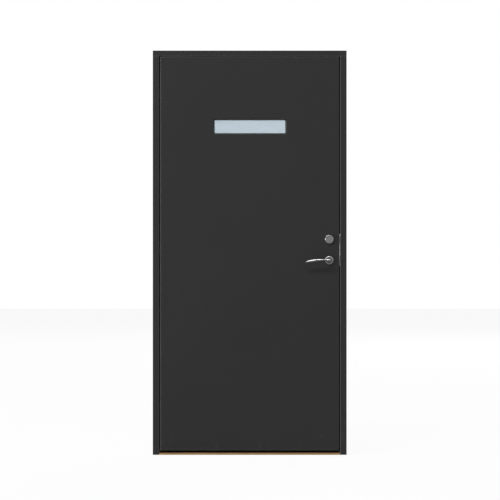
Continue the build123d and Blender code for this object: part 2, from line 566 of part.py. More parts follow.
def furniture():
    for name, s in (("outer", -1), ("inner", 1)):
        keep("lever_" + name, lever(s))
        if s > 0:
            rose = turned([(9.3, 0), (23.5, 0), (23.5, 6.5), (21.5, 8.6), (9.3, 8.6)], AXIS_X, HANDLE_Z, s)
        else:
            rose = turned([(15.4, 9.2), (14.4, 9.2), (13.2, 7.8), (12.2, 7.8), (11.2, 8.6), (9.3, 8.6), (9.3, 0),
                           (23.5, 0), (23.5, 2.0)], AXIS_X, HANDLE_Z, s, dome=((23.5, 2.0), (15.4, 9.2)))
        ring = turned([(18.9, 12.8), (0, 12.8), (0, 0), (23, 0), (23, 3.0)], AXIS_X, CYL_Z, s,
                      dome=((23, 3.0), (18.9, 12.8)))
        y0, y1 = (-60, -LEAF_T / 2 - 0) if s < 0 else (LEAF_T / 2, 60)
        ring -= slab_y(*OVAL, y0, y1, AXIS_X, OVAL_Z)
        keep("rose_" + name, rose)
        keep("ring_" + name, ring)
        far = OVAL_OUT + LEAF_T / 2
        y0, y1 = (-far, -9.5) if s < 0 else (9.5, far)
        body = slab_y(*OVAL, y0, y1, AXIS_X, OVAL_Z)
        body = fillet(body.edges().filter_by(lambda e, f=s * far: abs(e.center().Y - f) < 0.01), 0.8)
        plug_r = PLUG_R if s < 0 else 5.0
        keep("cylinder_" + name, body - rod_y(AXIS_X, PLUG_Z, plug_r + 0.08, y0 - 5, y1 + 5))
    far = -(OVAL_OUT + 0.4 + LEAF_T / 2)
    plug = rod_y(AXIS_X, PLUG_Z, PLUG_R, far, -24)
    plug = chamfer(plug.edges().filter_by(lambda e: abs(e.center().Y - far) < 0.01), 0.5)
    plug -= box(AXIS_X - 1.1, AXIS_X + 1.1, far - 1, far + 18, PLUG_Z - 5.6, PLUG_Z + 4.2)
    plug -= box(AXIS_X - 1.1, AXIS_X + 2.3, far - 1, far + 18, PLUG_Z - 1.2, PLUG_Z + 0.8)
    plug -= box(AXIS_X - 1.6, AXIS_X + 1.6, -26, -20, PLUG_Z - 4.1, PLUG_Z + 4.1)
    keep("cylinder_plug", plug)
    turn = rod_y(AXIS_X, PLUG_Z, 5.0, 20, 31 + 15)
    knob = slab_y(9, 34, 4, 31 + 15, 31 + 34, AXIS_X, PLUG_Z)
    knob = fillet(knob.edges().filter_by(lambda e: abs(e.center().Y - 65) < 0.01), 1.5)
    turn = turn + knob + box(AXIS_X - 1.5, AXIS_X + 1.5, -25.5, 22, PLUG_Z - 4, PLUG_Z + 4)
    keep("thumb_turn", turn)
    heads = [(AXIS_X, LEAF_T / 2 + 8.6, HANDLE_Z + d) for d in ROSE_SCREWS]
    bolts = screws(heads, "+y", 3.6, 2.0, 73)
    for b in screws(heads, "+y", 3.6, 2.0, 73, False):
        PARTS["rose_inner"] = PARTS["rose_inner"] - b
        PARTS["rose_outer"] = PARTS["rose_outer"] - b
    keep("rose_screws", group(bolts))
    sets = [Pos(AXIS_X + 8.6, s * (LEAF_T / 2 + 16), HANDLE_Z) * TO["+x"]
            * Cylinder(2.0, 4.6, align=(Align.CENTER, Align.CENTER, Align.MAX)) for s in (-1, 1)]
    keep("set_screws", group(sets))


hinges()
frame()
leaf_body()
window()
lock()
furniture()

for node, shape in PARTS.items():
    export_step(shape, "parts/" + node + ".step")
print(len(PARTS), "nodes")
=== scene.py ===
import bmesh
import bpy
import math
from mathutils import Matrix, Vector


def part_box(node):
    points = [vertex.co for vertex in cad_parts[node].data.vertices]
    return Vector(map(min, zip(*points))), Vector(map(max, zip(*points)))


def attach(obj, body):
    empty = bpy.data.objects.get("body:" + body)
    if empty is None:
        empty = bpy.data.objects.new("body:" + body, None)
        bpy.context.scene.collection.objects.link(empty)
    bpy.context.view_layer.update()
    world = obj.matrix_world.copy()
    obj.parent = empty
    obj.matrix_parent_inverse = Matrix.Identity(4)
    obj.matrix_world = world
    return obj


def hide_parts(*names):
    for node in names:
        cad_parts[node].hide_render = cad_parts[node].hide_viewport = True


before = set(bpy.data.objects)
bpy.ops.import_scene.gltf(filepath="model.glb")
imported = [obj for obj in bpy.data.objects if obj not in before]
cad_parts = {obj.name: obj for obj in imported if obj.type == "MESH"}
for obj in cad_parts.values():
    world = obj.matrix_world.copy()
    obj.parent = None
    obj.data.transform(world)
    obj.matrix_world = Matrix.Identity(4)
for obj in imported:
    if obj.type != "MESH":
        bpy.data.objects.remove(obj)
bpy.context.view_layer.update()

# Camera and studio. The door is seen square on from far away, the whole of it in the picture. A long
# soft lamp hangs high in front, a little to the left, and a wide one far out at the left grazes the faces.
PICTURE_WIDTH = 2.554        # metres across the picture at the door's outer face
CAMERA_AWAY = 12.0
FACE_Y = -0.031
EYE_X, EYE_Z = 0.0015, 1.0463
AMBIENT = 0.16
FLOOR_WHITE = 0.93           # how much of the floor's look is plain white, the rest takes the shadow
FLOOR_HALF = 30.0
FLOOR_DROP = 0.0015          # keeps the floor clear of the door's underside
LAMPS_AIM = Vector((0, 0, 1.05))

camera = bpy.data.objects.new("camera", bpy.data.cameras.new("camera"))
camera.data.lens = camera.data.sensor_width * CAMERA_AWAY / PICTURE_WIDTH
camera.data.clip_end = 60.0
camera.location = (EYE_X, FACE_Y - CAMERA_AWAY, EYE_Z)
camera.rotation_euler = (math.radians(90), 0, 0)
bpy.context.scene.collection.objects.link(camera)
bpy.context.scene.camera = camera
bpy.context.scene.view_settings.view_transform = "Standard"


def soft_lamp(name, place, wide, high, watts):
    lamp = bpy.data.lights.new(name, "AREA")
    lamp.shape, lamp.size, lamp.size_y, lamp.energy = "RECTANGLE", wide, high, watts
    holder = bpy.data.objects.new(name, lamp)
    holder.location = place
    holder.rotation_mode = "QUATERNION"
    holder.rotation_quaternion = (LAMPS_AIM - Vector(place)).to_track_quat("-Z", "Y")
    bpy.context.scene.collection.objects.link(holder)


soft_lamp("high lamp", (-4.4, -12.8, 13.75), 12.0, 3.0, 2150)
soft_lamp("left lamp", (-10.0, -2.07, 2.25), 3.6, 3.6, 1280)
soft_lamp("back lamp", (5.4, 15.0, 8.7), 8.0, 4.0, 1530)


def seen_by_eye_or_gloss(nodes, links):
    """One for camera rays, reflections and rays through glass, else nought."""
    path = nodes.new("ShaderNodeLightPath")
    level = path.outputs["Is Camera Ray"]
    for name in ("Is Glossy Ray", "Is Transmission Ray"):
        either = nodes.new("ShaderNodeMath")
        either.operation = "MAXIMUM"
        links.new(level, either.inputs[0])
        links.new(path.outputs[name], either.inputs[1])
        level = either.outputs[0]
    return level


world = bpy.data.worlds.new("studio")
bpy.context.scene.world = world
world.use_nodes = True
nodes, links = world.node_tree.nodes, world.node_tree.links
nodes.clear()
white, dim = nodes.new("ShaderNodeBackground"), nodes.new("ShaderNodeBackground")
white.inputs["Color"].default_value = dim.inputs["Color"].default_value = (1, 1, 1, 1)
white.inputs["Strength"].default_value = 1.0
dim.inputs["Strength"].default_value = AMBIENT
mix = nodes.new("ShaderNodeMixShader")
links.new(seen_by_eye_or_gloss(nodes, links), mix.inputs[0])
links.new(dim.outputs[0], mix.inputs[1])
links.new(white.outputs[0], mix.inputs[2])
links.new(mix.outputs[0], nodes.new("ShaderNodeOutputWorld").inputs["Surface"])

floor_mesh = bpy.data.meshes.new("floor")
floor_mesh.from_pydata([(FLOOR_HALF * x, FLOOR_HALF * y, 0)
                        for x, y in ((-1, -1), (1, -1), (1, 1), (-1, 1))], [], [(0, 1, 2, 3)])
floor = bpy.data.objects.new("floor", floor_mesh)
floor.location.z = -FLOOR_DROP
bpy.context.scene.collection.objects.link(floor)
pale = bpy.data.materials.new("pale floor")
pale.use_nodes = True
nodes, links = pale.node_tree.nodes, pale.node_tree.links
nodes.clear()
matt = nodes.new("ShaderNodeBsdfDiffuse")
matt.inputs["Color"].default_value = (0.8, 0.8, 0.8, 1)
glow = nodes.new("ShaderNodeEmission")
glow.inputs["Strength"].default_value = 1.0
level = nodes.new("ShaderNodeMath")
level.operation = "MULTIPLY"
level.inputs[1].default_value = FLOOR_WHITE
links.new(seen_by_eye_or_gloss(nodes, links), level.inputs[0])
mix = nodes.new("ShaderNodeMixShader")
links.new(level.outputs[0], mix.inputs[0])
links.new(matt.outputs[0], mix.inputs[1])
links.new(glow.outputs[0], mix.inputs[2])
links.new(mix.outputs[0], nodes.new("ShaderNodeOutputMaterial").inputs["Surface"])
floor_mesh.materials.append(pale)


# Jambs and head: planed pine, primed and sprayed a dark matt grey, glued and screwed at the corners.
# The coat has a fine orange peel and is lighter along the rounded arrises, partly rubbed wear and partly
# painted highlight. Dust lies where it faces up, with faint scuffs near the floor.
def effect_group(name, inputs, outputs=("Colour", "Roughness", "Height")):
    group = bpy.data.node_groups.new(name, "ShaderNodeTree")
    group.interface.new_socket("Vector", in_out="INPUT", socket_type="NodeSocketVector")
    for label, value in inputs.items():
        kind = "Float" if isinstance(value, float) else "Color" if len(value) == 4 else "Vector"
        socket = group.interface.new_socket(label, in_out="INPUT", socket_type="NodeSocket" + kind)
        socket.default_value = value
    for label in outputs:
        kind = "Color" if label == "Colour" else "Float"
        group.interface.new_socket(label, in_out="OUTPUT", socket_type="NodeSocket" + kind)
    return group, group.nodes.new("NodeGroupInput").outputs, group.nodes.new("NodeGroupOutput").inputs


def feed(group, socket, value):
    """Links a socket's value, or writes it down where it is a number or a colour."""
    if isinstance(value, bpy.types.NodeSocket):
        group.links.new(value, socket)
    else:
        socket.default_value = value


def noise(group, vector, scale, detail=3.0, rough=0.5):
    made = group.nodes.new("ShaderNodeTexNoise")
    for label, value in (("Vector", vector), ("Scale", scale), ("Detail", detail), ("Roughness", rough)):
        feed(group, made.inputs[label], value)
    return made.outputs["Fac"]


def maths(group, operation, *values):
    made = group.nodes.new("ShaderNodeMath")
    made.operation = operation
    for socket, value in zip(made.inputs, values):
        feed(group, socket, value)
    return made.outputs[0]


def spread(group, value, start, end, low, high):
    """Runs from low to high while value runs from start to end."""
    made = group.nodes.new("ShaderNodeMapRange")
    labels = ("Value", "From Min", "From Max", "To Min", "To Max")
    for label, number in zip(labels, (value, start, end, low, high)):
        feed(group, made.inputs[label], number)
    return made.outputs["Result"]


def blend_colour(group, factor, first, second, how="MIX"):
    made = group.nodes.new("ShaderNodeMix")
    made.data_type, made.blend_type = "RGBA", how
    for socket, value in zip((made.inputs[0], made.inputs[6], made.inputs[7]), (factor, first, second)):
        feed(group, socket, value)
    return made.outputs[2]


def times(group, vector, factors):
    made = group.nodes.new("ShaderNodeVectorMath")
    made.operation = "MULTIPLY"
    feed(group, made.inputs[0], vector)
    feed(group, made.inputs[1], factors)
    return made.outputs[0]


def parts_of(group, vector):
    """The X, Y and Z of a vector."""
    made = group.nodes.new("ShaderNodeSeparateXYZ")
    feed(group, made.inputs[0], vector)
    return made.outputs


def outward(group):
    """The way the surface faces."""
    return group.nodes.new("ShaderNodeNewGeometry").outputs["Normal"]


def facing_up(group):
    """Nought on a wall, one on a level top."""
    return maths(group, "MAXIMUM", parts_of(group, outward(group))["Z"], 0.0)


ARRIS_WEAR_AND_HIGHLIGHT_GREY = (0.095, 0.095, 0.096, 1.0)       # primer showing through along the arrises, and painted highlight on them
SCUFF_GREY = (0.4, 0.39, 0.37, 1.0)
DUST_GREY = (0.30, 0.29, 0.27, 1.0)
SCUFFS_TO = 0.22                               # height up to which shoes and brooms reach

coat, given, put = effect_group("sprayed coat", {
    "Colour": (0.03, 0.03, 0.03, 1.0), "Peel Scale": 700.0, "Shine": 0.45, "Dust": 0.3, "Scuffs": 0.0,
    "Arris Wear And Highlight": 0.0})
peel = noise(coat, given["Vector"], given["Peel Scale"], 2.0)
cloud = noise(coat, given["Vector"], 2.3, 4.0)
mottle = noise(coat, given["Vector"], 34.0, 5.0, 0.6)
low_down = spread(coat, parts_of(coat, given["Vector"])["Z"], 0.0, SCUFFS_TO, 1.0, 0.0)
streaks = noise(coat, times(coat, given["Vector"], (26.0, 26.0, 9.0)), 1.0, 6.0, 0.7)
scuff = maths(coat, "MULTIPLY", low_down, spread(coat, streaks, 0.58, 0.70, 0.0, 1.0))
scuff = maths(coat, "MULTIPLY", scuff, given["Scuffs"])
settled = maths(coat, "MULTIPLY", facing_up(coat), spread(coat, mottle, 0.3, 0.7, 0.6, 1.0))
dust = maths(coat, "MULTIPLY", settled, given["Dust"])
tone = maths(coat, "ADD", spread(coat, cloud, 0.3, 0.7, 0.97, 1.03),
             spread(coat, mottle, 0.3, 0.7, -0.02, 0.02))
grey = coat.nodes.new("ShaderNodeCombineColor")
for socket in grey.inputs[:3]:
    coat.links.new(tone, socket)
clean = blend_colour(coat, 1.0, given["Colour"], grey.outputs[0], "MULTIPLY")
# Painted highlight and rubbed wear: the coat is made lighter where its faces turn round the arrises.
square_to = [maths(coat, "ABSOLUTE", part) for part in parts_of(coat, outward(coat))]
squarest = maths(coat, "MAXIMUM", maths(coat, "MAXIMUM", square_to[0], square_to[1]), square_to[2])
arris_wear_and_highlight = maths(coat, "MULTIPLY", spread(coat, squarest, 0.98, 0.88, 0.0, 1.0),
              spread(coat, mottle, 0.3, 0.7, 0.8, 1.0))
arris_wear_and_highlight = maths(coat, "MULTIPLY", arris_wear_and_highlight, given["Arris Wear And Highlight"])
wear_and_highlight_coloured = blend_colour(coat, arris_wear_and_highlight, clean, ARRIS_WEAR_AND_HIGHLIGHT_GREY)
scuffed = blend_colour(coat, maths(coat, "MULTIPLY", scuff, 0.06), wear_and_highlight_coloured, SCUFF_GREY)
feed(coat, put["Colour"], blend_colour(coat, maths(coat, "MULTIPLY", dust, 0.35), scuffed, DUST_GREY))
worn = maths(coat, "ADD", spread(coat, mottle, 0.3, 0.7, -0.04, 0.04), maths(coat, "MULTIPLY", scuff, 0.12))
feed(coat, put["Roughness"], maths(coat, "ADD", given["Shine"],
                                   maths(coat, "ADD", worn, maths(coat, "MULTIPLY", dust, 0.3))))
feed(coat, put["Height"], maths(coat, "ADD", peel, maths(coat, "MULTIPLY", mottle, 0.6)))


def finish_of(name, group, values, bump, depth, **plain):
    """A material fed by one effect group. What is the same all over goes on the shader's own sockets."""
    made = bpy.data.materials.new(name)
    made.use_nodes = True
    tree = made.node_tree
    shader = tree.nodes["Principled BSDF"]
    effect = tree.nodes.new("ShaderNodeGroup")
    effect.node_tree = group
    tree.links.new(tree.nodes.new("ShaderNodeTexCoord").outputs["Object"], effect.inputs["Vector"])
    for label, value in values.items():
        effect.inputs[label].default_value = value
    tree.links.new(effect.outputs["Colour"], shader.inputs["Base Color"])
    tree.links.new(effect.outputs["Roughness"], shader.inputs["Roughness"])
    raised = tree.nodes.new("ShaderNodeBump")
    raised.inputs["Strength"].default_value = bump
    raised.inputs["Distance"].default_value = depth
    tree.links.new(effect.outputs["Height"], raised.inputs["Height"])
    tree.links.new(raised.outputs["Normal"], shader.inputs["Normal"])
    for label, value in plain.items():
        shader.inputs[label.replace("_", " ")].default_value = value
    return made


def dress(material, *names):
    for name in names:
        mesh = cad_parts[name].data
        mesh.materials.clear()
        mesh.materials.append(material)


DARK_GREY = (0.0200, 0.0200, 0.0202, 1.0)
MATT = 0.12                                    # specular level of the matt paint
dress(finish_of("frame paint", coat,
                {"Colour": DARK_GREY, "Shine": 0.46, "Dust": 0.35, "Scuffs": 1.0, "Arris Wear And Highlight": 1.0},
                0.10, 0.0002, Specular_IOR_Level=MATT), "jamb_hinge_side", "jamb_lock_side", "head")

# Sill: planed and oiled oak between the jambs, grain along the door, darker in its pores and rings.
# Its top under the leaf's front edge is darkened as painted shade.
# Painted shade: the dark colour given to the sill's top where the leaf shades it.
SILL_SHADE_UNDER_LEAF = (0.02, 0.017, 0.014, 1.0)

wood, given, put = effect_group("oak grain", {
    "Colour": (0.3, 0.2, 0.11, 1.0), "Dark": (0.16, 0.10, 0.05, 1.0), "Shine": 0.5, "Dirt From": -0.03,
    "Dirt To": 0.0})
bend = noise(wood, times(wood, given["Vector"], (1.5, 8.0, 8.0)), 1.0, 2.0)
bent = wood.nodes.new("ShaderNodeVectorMath")
bent.operation = "ADD"
wood.links.new(times(wood, given["Vector"], (2.4, 95.0, 95.0)), bent.inputs[0])
shift = wood.nodes.new("ShaderNodeCombineXYZ")
wood.links.new(maths(wood, "MULTIPLY", bend, 2.5), shift.inputs["Z"])
wood.links.new(shift.outputs[0], bent.inputs[1])
rings = noise(wood, bent.outputs[0], 1.0, 6.0, 0.62)
pores = noise(wood, times(wood, given["Vector"], (16.0, 900.0, 900.0)), 1.0, 2.0)
pore = spread(wood, pores, 0.54, 0.66, 0.0, 0.6)
ring = spread(wood, rings, 0.36, 0.66, 0.0, 0.75)
grained = blend_colour(wood, maths(wood, "MINIMUM", maths(wood, "ADD", ring, pore), 1.0),
                       given["Colour"], given["Dark"])
# Painted shade on the sill's top under the leaf: full near the front, fading further in, on faces that look
# up. It also dulls the shine there.
under_leaf = spread(wood, parts_of(wood, given["Vector"])["Y"], given["Dirt To"], given["Dirt From"], 0.0, 1.0)
painted_shade_under_leaf = maths(wood, "MULTIPLY", maths(wood, "MULTIPLY", under_leaf, facing_up(wood)), 0.9)
feed(wood, put["Colour"], blend_colour(wood, painted_shade_under_leaf, grained, SILL_SHADE_UNDER_LEAF))
duller = maths(wood, "MULTIPLY", maths(wood, "ADD", pore, painted_shade_under_leaf), 0.35)
feed(wood, put["Roughness"], maths(wood, "ADD", given["Shine"], duller))
feed(wood, put["Height"], maths(wood, "SUBTRACT", rings, pore))
dress(finish_of("oiled oak", wood,
                {"Colour": (0.345, 0.212, 0.092, 1.0), "Dark": (0.172, 0.098, 0.038, 1.0),
                 "Dirt From": -0.012, "Dirt To": 0.018},
                0.3, 0.0003, Specular_IOR_Level=0.15), "sill")

# Wear strip: drawn aluminium, ribbed, let into the sill's top under the leaf and screwed down.
# Like all the drawn metal here it has fine lines along its length, stains, and scratches in its shine.
# Painted shade darkens the metal where it faces down, and fades out where it faces up.
LINE_SHADE = (0.35, 0.35, 0.36, 1.0)
UNDERSIDE_SHADE_GREY = (0.05, 0.05, 0.051, 1.0)


def bare_metal(group, given, put, lines, marks):
    """Colour, shine and height from the lines of the making, the marks of use, and painted shade where it
    faces down.
    """
    shade = maths(group, "MULTIPLY", spread(group, lines, 0.3, 0.7, 0.0, 1.0), given["Contrast"])
    lined = blend_colour(group, shade, given["Colour"], LINE_SHADE, "MULTIPLY")
    # Painted shade: the metal is darkened where it faces down.
    faces_down = spread(group, parts_of(group, outward(group))["Z"], 0.30, -0.30, 0.0, 1.0)
    shaded_underside = blend_colour(group, maths(group, "MULTIPLY", faces_down, given["Underside Shade"]), lined, UNDERSIDE_SHADE_GREY)
    feed(group, put["Colour"], shaded_underside)
    uneven = maths(group, "ADD", spread(group, lines, 0.3, 0.7, -0.06, 0.06),
                   spread(group, marks, 0.35, 0.7, -0.03, 0.06))
    feed(group, put["Roughness"], maths(group, "ADD", given["Shine"], uneven))
    feed(group, put["Height"], lines)


drawn, given, put = effect_group("drawn metal", {
    "Colour": (0.5, 0.5, 0.5, 1.0), "Line Scale": (20.0, 2600.0, 2600.0), "Shine": 0.3, "Contrast": 0.25,
    "Underside Shade": 0.0})
die_lines = noise(drawn, times(drawn, given["Vector"], given["Line Scale"]), 1.0, 3.0, 0.6)
bare_metal(drawn, given, put, die_lines, noise(drawn, given["Vector"], 90.0, 4.0))


def drawn_metal(name, colour, lines, shine, contrast, bump=0.05, underside_shade=0.0):
    values = {"Colour": colour, "Line Scale": lines, "Shine": shine, "Contrast": contrast, "Underside Shade": underside_shade}
    return finish_of(name, drawn, values, bump, 0.0001, Metallic=1.0)


dress(drawn_metal("drawn aluminium", (0.42, 0.43, 0.445, 1.0), (12.0, 2400.0, 2400.0), 0.52, 0.35),
      "sill_strip", "bottom_seal_carrier", "spacer")


# Screws: cold headed steel, zinc plated, countersunk, with a six lobed recess. All are sunk flush.
# One tree makes the screw from its sizes, in millimetres because its cuts need room, and sets it at each
# place, turned as it happened to stop.
SAME_POINT = 2e-6            # corners nearer than this are one
JOINT_SCREW_MIN = 0.03       # an upright joint screw is longer than this
SHANK_UNDER = 0.7            # the shank starts this share of the way down the head's cone
LOBES, LOBE_DEPTH, RECESS_REACH = 6.0, 0.11, 0.52


def solids_of(node):
    """Lowest and highest corner of each separate solid of a CAD node."""
    shape = bmesh.new()
    shape.from_mesh(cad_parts[node].data)
    bmesh.ops.remove_doubles(shape, verts=shape.verts, dist=SAME_POINT)
    left, boxes = set(shape.verts), []
    while left:
        front = [left.pop()]
        low, high = front[0].co.copy(), front[0].co.copy()
        while front:
            corner = front.pop()
            for axis in range(3):
                low[axis], high[axis] = min(low[axis], corner.co[axis]), max(high[axis], corner.co[axis])
            near = {edge.other_vert(corner) for edge in corner.link_edges} & left
            left -= near
            front.extend(near)
        boxes.append((low, high))
    shape.free()
    return sorted(boxes, key=lambda pair: tuple(pair[0]))


def screw_tree():
    tree = bpy.data.node_groups.new("lobed screws", "GeometryNodeTree")
    sockets = [("Places", "Geometry", None), ("Head Radius", "Float", 4.0), ("Shank Radius", "Float", 2.0),
               ("Length", "Float", 20.0), ("Recess Depth", "Float", 1.2), ("Seed", "Int", 3),
               ("Finish", "Material", None)]
    for label, kind, value in sockets:
        socket = tree.interface.new_socket(label, in_out="INPUT", socket_type="NodeSocket" + kind)
        if value is not None:
            socket.default_value = value
    tree.interface.new_socket("Screws", in_out="OUTPUT", socket_type="NodeSocketGeometry")
    given = tree.nodes.new("NodeGroupInput").outputs

    def node(kind, inputs=(), out=0, **settings):
        made = tree.nodes.new(kind)
        for label, value in settings.items():
            setattr(made, label, value)
        for key, value in dict(inputs).items():
            feed(tree, made.inputs[key], value)
        return made.outputs[out]

    def sum_of(operation, first, second):
        return node("ShaderNodeMath", {0: first, 1: second}, operation=operation)

    def upright(z):
        return node("ShaderNodeCombineXYZ", {"Z": z})

    sunk = sum_of("SUBTRACT", given["Head Radius"], given["Shank Radius"])
    cone = node("GeometryNodeMeshCone", {"Vertices": 36, "Radius Top": given["Shank Radius"],
                                         "Radius Bottom": given["Head Radius"], "Depth": sunk}, "Mesh")
    cone = node("GeometryNodeTransform", {"Geometry": cone, "Rotation": (math.pi, 0, 0)})
    shank_top = sum_of("MULTIPLY", sunk, SHANK_UNDER)
    shank = node("GeometryNodeMeshCylinder", {
        "Vertices": 24, "Depth": sum_of("SUBTRACT", given["Length"], shank_top),
        "Radius": sum_of("MULTIPLY", given["Shank Radius"], 0.98)}, "Mesh")
    middle = sum_of("MULTIPLY", sum_of("ADD", shank_top, given["Length"]), -0.5)
    shank = node("GeometryNodeTransform", {"Geometry": shank, "Translation": upright(middle)})
    blank = tree.nodes.new("GeometryNodeMeshBoolean")
    blank.operation = "UNION"
    tree.links.new(cone, blank.inputs["Mesh 2"])
    tree.links.new(shank, blank.inputs["Mesh 2"])

    circle = node("GeometryNodeCurvePrimitiveCircle", {"Resolution": 48, "Radius": 1.0}, "Curve")
    position = node("GeometryNodeInputPosition")
    place = parts_of(tree, position)
    angle = sum_of("ARCTAN2", place["Y"], place["X"])
    wave = node("ShaderNodeMath", {0: sum_of("MULTIPLY", angle, LOBES)}, operation="COSINE")
    lobes = sum_of("ADD", sum_of("MULTIPLY", wave, LOBE_DEPTH), 1.0 - LOBE_DEPTH)
    reach = sum_of("MULTIPLY", sum_of("MULTIPLY", given["Head Radius"], RECESS_REACH), lobes)
    across = node("ShaderNodeVectorMath", {0: position, "Scale": reach}, operation="SCALE")
    star = node("GeometryNodeSetPosition", {"Geometry": circle, "Position": across})
    floor_of_recess = upright(sum_of("MULTIPLY", given["Recess Depth"], -1.0))
    rail = node("GeometryNodeCurvePrimitiveLine", {"Start": floor_of_recess, "End": (0.0, 0.0, 1.0)})
    driver = node("GeometryNodeCurveToMesh", {"Curve": rail, "Profile Curve": star, "Fill Caps": True})
    cut = tree.nodes.new("GeometryNodeMeshBoolean")
    cut.operation = "DIFFERENCE"
    tree.links.new(blank.outputs["Mesh"], cut.inputs["Mesh 1"])
    tree.links.new(driver, cut.inputs["Mesh 2"])

    facing = node("GeometryNodeInputNamedAttribute", {"Name": "facing"}, "Attribute",
                  data_type="FLOAT_VECTOR")
    stand = node("FunctionNodeAlignRotationToVector", {"Vector": facing}, axis="Z")
    chance = tree.nodes.new("FunctionNodeRandomValue")
    chance.inputs[3].default_value = math.tau / LOBES
    tree.links.new(given["Seed"], chance.inputs["Seed"])
    spin = node("FunctionNodeEulerToRotation", {0: upright(chance.outputs[1])})
    turned = node("FunctionNodeRotateRotation", {"Rotation": stand, "Rotate By": spin},
                  rotation_space="LOCAL")
    points = node("GeometryNodeMeshToPoints", {"Mesh": given["Places"]})
    many = node("GeometryNodeInstanceOnPoints", {"Points": points, "Instance": cut.outputs["Mesh"],
                                                 "Rotation": turned, "Scale": (0.001, 0.001, 0.001)})
    solid = node("GeometryNodeRealizeInstances", {"Geometry": many})
    flat = node("GeometryNodeSetShadeSmooth", {"Geometry": solid, "Shade Smooth": False})
    final = node("GeometryNodeSetMaterial", {"Geometry": flat, "Material": given["Finish"]})
    tree.links.new(final, tree.nodes.new("NodeGroupOutput").inputs["Screws"])
    return tree


def run_tree(name, tree, places, inputs):
    """Evaluates a tree on some points and returns the plain mesh as a new object."""
    mesh = bpy.data.meshes.new(name + " places")
    mesh.from_pydata([place for place, _ in places], [], [])
    arrows = mesh.attributes.new("facing", "FLOAT_VECTOR", "POINT")
    for item, (_, way) in zip(arrows.data, places):
        item.vector = way
    holder = bpy.data.objects.new(name + " places", mesh)
    bpy.context.scene.collection.objects.link(holder)
    modifier = holder.modifiers.new("tree", "NODES")
    modifier.node_group = tree
    for socket in tree.interface.items_tree:
        if socket.in_out == "INPUT" and socket.name in inputs:
            modifier[socket.identifier] = inputs[socket.name]
    graph = bpy.context.evaluated_depsgraph_get()
    result = bpy.data.meshes.new_from_object(holder.evaluated_get(graph))
    holder.modifiers.clear()
    bpy.data.objects.remove(holder)
    result.name = name
    made = bpy.data.objects.new(name, result)
    bpy.context.scene.collection.objects.link(made)
    return made


plated = drawn_metal("zinc plated steel", (0.50, 0.51, 0.53, 1.0), (1100.0, 1100.0, 1100.0), 0.30, 0.2)
lobed_screws = screw_tree()
WAYS = {"+x": Vector((1, 0, 0)), "-x": Vector((-1, 0, 0)), "+y": Vector((0, 1, 0)),
        "+z": Vector((0, 0, 1))}


def set_screws(name, body, way, head, shank, long, recess):
    """Stands for all the screws of one node; way is where the heads face, or a function that says so."""
    places = []
    for low, high in solids_of(name):
        facing = WAYS[way(low, high)] if callable(way) else WAYS[way]
        middle, half = (low + high) / 2, (high - low) / 2
        places.append((Vector([m + w * h for m, w, h in zip(middle, facing, half)]), facing))
    made = run_tree(name + ".lobed", lobed_screws, places, {
        "Head Radius": head, "Shank Radius": shank, "Length": long, "Recess Depth": recess,
        "Seed": len(places), "Finish": plated})
    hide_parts(name)
    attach(made, body)


def joint_way(low, high):
    return "+z" if high.z - low.z > JOINT_SCREW_MIN else "+x" if low.x > 0 else "-x"


set_screws("sill_strip_screws", "frame", "+z", 3.6, 1.8, 18.0, 1.3)
set_screws("joint_screws", "frame", joint_way, 4.5, 2.3, 70.0, 1.8)

# Gasket: black rubber, extruded, with a hollow bulb and a barbed fin pressed into the stop's groove.
# Its four runs are cut to 45 degrees and glued at the corners.
rubber = finish_of("black rubber", coat,
                   {"Colour": (0.012, 0.012, 0.012, 1.0), "Peel Scale": 1500.0, "Shine": 0.62, "Dust": 0.6},
                   0.2, 0.0002, Specular_IOR_Level=0.3)
HALF_BASE = 0.0033           # half the width of the gasket's base, which lies on the stop
GASKET_PROFILE = [(-0.0007, 0.0392), (-0.0013, 0.0384), (-0.0009, 0.0382), (-0.0014, 0.0374),
                  (-0.0009, 0.0372), (-0.0014, 0.0364), (-0.0009, 0.0362), (-0.0009, 0.0350),
                  (-HALF_BASE, 0.0350), (-HALF_BASE, 0.0343)]
BULB_WIDE, BULB_HIGH, BULB_ROOT, BULB_STEPS = 0.0031, 0.0029, 0.0343, 14


def gasket_ring():
    low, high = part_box("gasket")
    half_x, z0, z1 = high.x - HALF_BASE, low.z + HALF_BASE, high.z - HALF_BASE
    turns = [math.pi * i / BULB_STEPS for i in range(BULB_STEPS + 1)]
    bulb = [(-BULB_WIDE * math.cos(turn), BULB_ROOT - BULB_HIGH * math.sin(turn)) for turn in turns]
    profile = GASKET_PROFILE + bulb + [(-u, y) for u, y in reversed(GASKET_PROFILE)]
    shape = bmesh.new()
    corners = []
    for sx, sz in ((-1, -1), (1, -1), (1, 1), (-1, 1)):
        corners.append([shape.verts.new((sx * (half_x + u), y, z1 + u if sz > 0 else z0 - u))
                        for u, y in profile])
    for here, there in zip(corners, corners[1:] + corners[:1]):
        for i in range(len(profile)):
            j = (i + 1) % len(profile)
            shape.faces.new((here[i], there[i], there[j], here[j]))
    bmesh.ops.recalc_face_normals(shape, faces=shape.faces)
    mesh = bpy.data.meshes.new("gasket.bulb")
    shape.to_mesh(mesh)
    shape.free()
    mesh.materials.append(rubber)
    made = bpy.data.objects.new("gasket.bulb", mesh)
    bpy.context.scene.collection.objects.link(made)
    return made


gasket = gasket_ring()
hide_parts("gasket")
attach(gasket, "frame")

# Wall fixings: plated steel bushes in the jambs, each closed by a plastic plug in the frame's colour.
dress(plated, "fixing_bushes")
dress(finish_of("moulded plastic", coat,
                {"Colour": (0.026, 0.026, 0.0265, 1.0), "Peel Scale": 2200.0, "Shine": 0.5, "Dust": 0.2},
                0.15, 0.0002, Specular_IOR_Level=0.3), "fixing_plugs", "window_lining", "strike_box")

